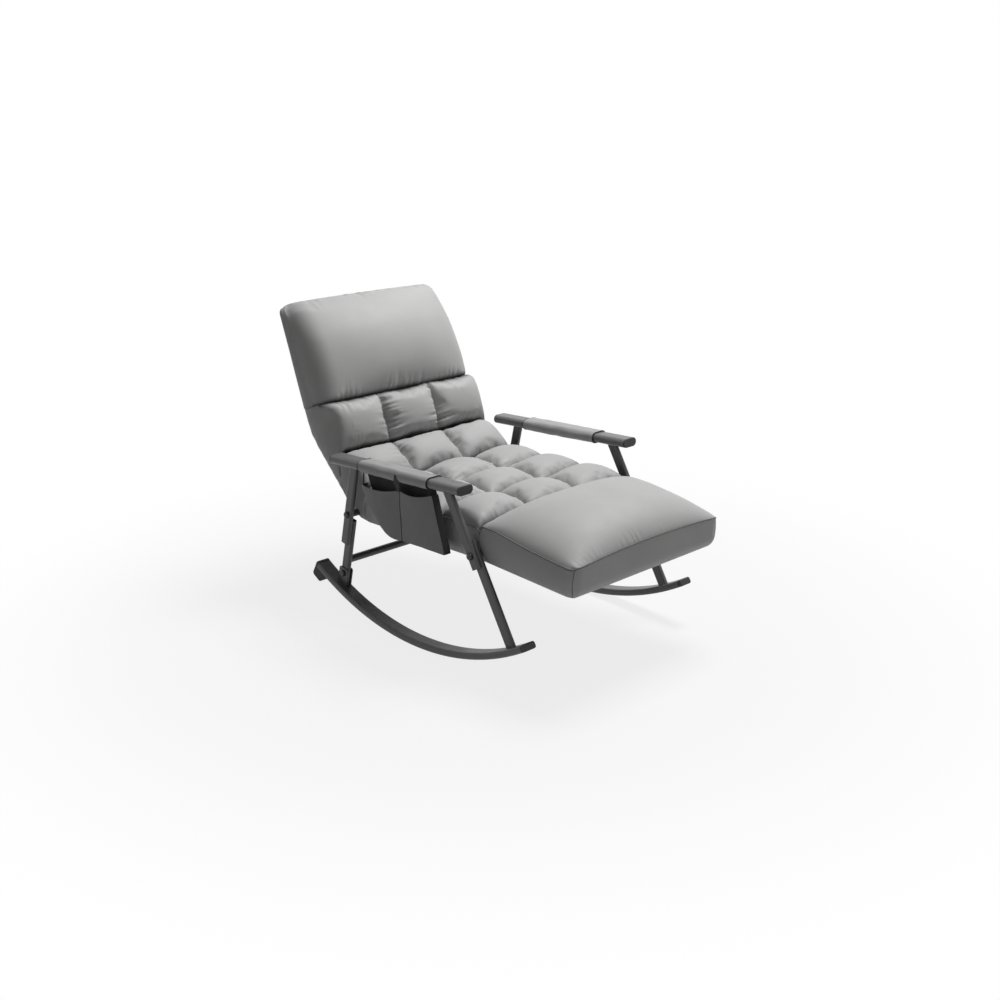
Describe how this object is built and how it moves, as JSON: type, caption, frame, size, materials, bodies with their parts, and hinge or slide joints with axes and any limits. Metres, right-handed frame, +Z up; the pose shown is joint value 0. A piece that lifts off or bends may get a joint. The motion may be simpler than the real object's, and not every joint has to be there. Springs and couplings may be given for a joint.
{
  "type": "reclining rocking chair",
  "caption": "Rocking lounge chair with bent tube rockers, padded armrests, a quilted mattress with reclining back and tilting footrest, and a side pocket.",
  "frame": {"origin": "on the floor, midway between the two rockers, under their lowest point in the upright pose of the picture", "axes": "+Z up, -Y the way the sitter faces, +X to the sitter's left"},
  "size_m": [0.6514, 1.0867, 0.8015],
  "materials": {
    "upholstery": "matte",
    "arm_sleeve": "matte",
    "pocket_cloth": "matte",
    "webbing": "matte",
    "base_cloth": "matte",
    "cap_plastic": "matte",
    "stop_rubber": "matte",
    "washer_nylon": "matte",
    "arm_shell": "satin",
    "back_tube": "satin",
    "fastener": "satin",
    "seat_tube": "satin",
    "frame_steel": "satin"
  },
  "bodies": {
    "base": {"armrest_front_caps": "cap_plastic", "armrest_left": "arm_shell", "armrest_rear_caps": "cap_plastic", "armrest_right": "arm_shell", "armrest_sleeve_left": "arm_sleeve", "armrest_sleeve_right": "arm_sleeve", "front_leg_lower_left": "frame_steel", "front_leg_lower_right": "frame_steel", "front_leg_upper_left": "frame_steel", "front_leg_upper_right": "frame_steel", "leg_lap_screws": "fastener", "lumbar_cushion": "upholstery", "pivot_bolts": "fastener", "pivot_nuts": "fastener", "pivot_spacers": "seat_tube", "pivot_washers": "washer_nylon", "pocket_back_panel": "pocket_cloth", "pocket_pouch": "pocket_cloth", "pocket_straps": "pocket_cloth", "rear_crossbar": "frame_steel", "rear_foot_bolts": "fastener", "rear_foot_cheeks": "frame_steel", "rear_foot_nuts": "fastener", "rear_leg_lower_left": "frame_steel", "rear_leg_lower_right": "frame_steel", "rear_leg_upper_left": "frame_steel", "rear_leg_upper_right": "frame_steel", "rocker_front_caps": "cap_plastic", "rocker_left": "frame_steel", "rocker_rear_caps": "cap_plastic", "rocker_right": "frame_steel", "seat_base_panel": "base_cloth", "seat_cushion": "upholstery", "seat_front_tube": "seat_tube", "seat_rail_left": "seat_tube", "seat_rail_right": "seat_tube", "seat_rear_tube": "seat_tube", "seat_webbing": "webbing", "tail_stop_left": "stop_rubber", "tail_stop_right": "stop_rubber", "tail_stop_screws": "fastener"},
    "backrest": {"back_cushion": "upholstery", "back_lug_left": "back_tube", "back_lug_right": "back_tube", "back_middle_tube": "back_tube", "back_panel": "base_cloth", "back_side_tube_left": "back_tube", "back_side_tube_right": "back_tube", "back_top_tube": "back_tube", "back_webbing": "webbing", "head_cushion": "upholstery"},
    "footrest": {"foot_base_panel": "base_cloth", "foot_cushion": "upholstery", "foot_front_tube": "seat_tube", "foot_lug_left": "seat_tube", "foot_lug_right": "seat_tube", "foot_side_tube_left": "seat_tube", "foot_side_tube_right": "seat_tube", "foot_webbing": "webbing"}
  },
  "joints": [
    {"name": "backrest_recline", "type": "hinge", "parent": "base", "child": "backrest", "pos_m": [0, 0.25546, 0.287], "axis": [-1, 0, 0], "range_deg": [0, 50]},
    {"name": "footrest_drop", "type": "hinge", "parent": "base", "child": "footrest", "pos_m": [0, -0.21573, 0.297], "axis": [1, 0, 0], "range_deg": [0, 60]}
  ]
}
